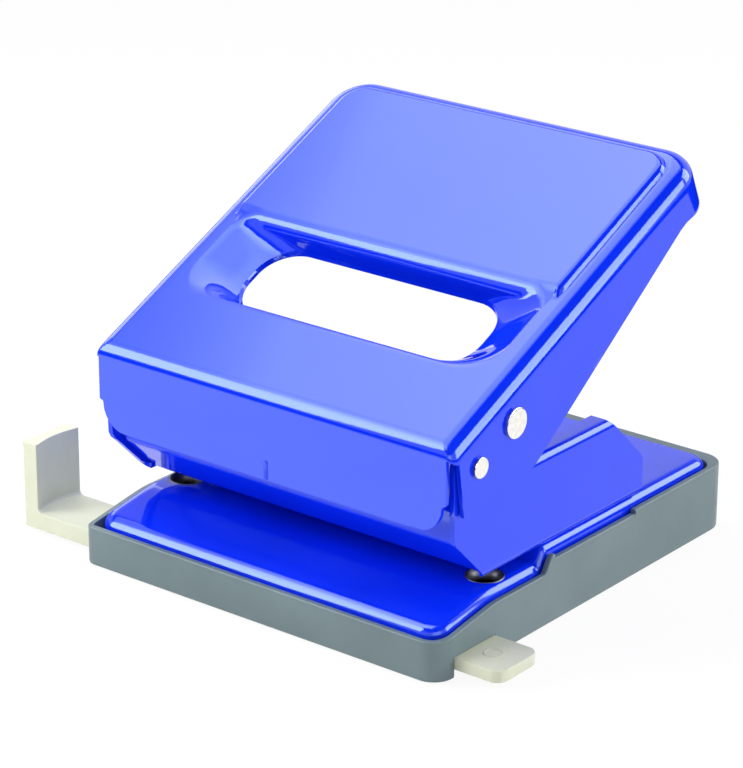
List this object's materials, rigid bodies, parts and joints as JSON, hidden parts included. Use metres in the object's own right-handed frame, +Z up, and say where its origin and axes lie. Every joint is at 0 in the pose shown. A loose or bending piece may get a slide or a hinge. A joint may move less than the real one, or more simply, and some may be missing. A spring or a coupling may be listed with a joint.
{
  "type": "two-hole paper punch",
  "caption": "Desk paper punch with a slotted lever handle, sprung punches over dies, rolled-edge steel base, chip tray and sliding paper guide.",
  "frame": {"origin": "on the chip tray's flat underside, below the middle of the plate", "axes": "+Z up, +X to the user's right along the paper edge, +Y away from the user; paper goes in along +Y"},
  "size_m": [0.1285, 0.1038, 0.0879],
  "materials": {
    "blue_enamel": "glossy stove enamel",
    "grey_plastic": "fine moulded satin",
    "ivory_plastic": "moulded satin",
    "bright_steel": "bright nickel plated",
    "hard_steel": "ground, hardened",
    "dark_steel": "plain pressed, oiled",
    "spring_steel": "drawn wire"
  },
  "bodies": {
    "tray": {"chip_tray": "grey_plastic"},
    "guide": {"guide_bar": "ivory_plastic"},
    "base": {"base_plate": "blue_enamel", "left_die": "hard_steel", "right_die": "hard_steel", "frame": "blue_enamel", "frame_rivets": "bright_steel", "punch_carrier": "dark_steel", "carrier_rivets": "bright_steel", "left_fulcrum_pin": "bright_steel", "right_fulcrum_pin": "bright_steel", "left_spring": "spring_steel", "right_spring": "spring_steel"},
    "handle": {"handle": "blue_enamel", "press_shaft": "bright_steel"},
    "left_punch": {"left_punch": "hard_steel", "left_spring_seat": "bright_steel", "left_clip": "spring_steel"},
    "right_punch": {"right_punch": "hard_steel", "right_spring_seat": "bright_steel", "right_clip": "spring_steel"}
  },
  "joints": [
    {"name": "base_lift", "type": "slide", "parent": "tray", "child": "base", "axis": [0, 0, 1], "range_m": [0, 0.03]},
    {"name": "guide_slide", "type": "slide", "parent": "tray", "child": "guide", "axis": [-1, 0, 0], "range_m": [-0.018, 0.082]},
    {"name": "handle_pivot", "type": "hinge", "parent": "base", "child": "handle", "pos_m": [0, -0.0382, 0.043], "axis": [-1, 0, 0], "range_deg": [0, 27], "stiffness_Nm_per_rad": 0.5, "springref_deg": -20.63},
    {"name": "left_punch_slide", "type": "slide", "parent": "base", "child": "left_punch", "axis": [0, 0, -1], "range_m": [0, 0.0059], "deforming": ["left_spring"]},
    {"name": "right_punch_slide", "type": "slide", "parent": "base", "child": "right_punch", "axis": [0, 0, -1], "range_m": [0, 0.0059], "deforming": ["right_spring"]}
  ],
  "couplings": [
    {"joint": "left_punch_slide", "follows": "handle_pivot", "m_per_rad": 0.01242},
    {"joint": "right_punch_slide", "follows": "handle_pivot", "m_per_rad": 0.01242}
  ]
}
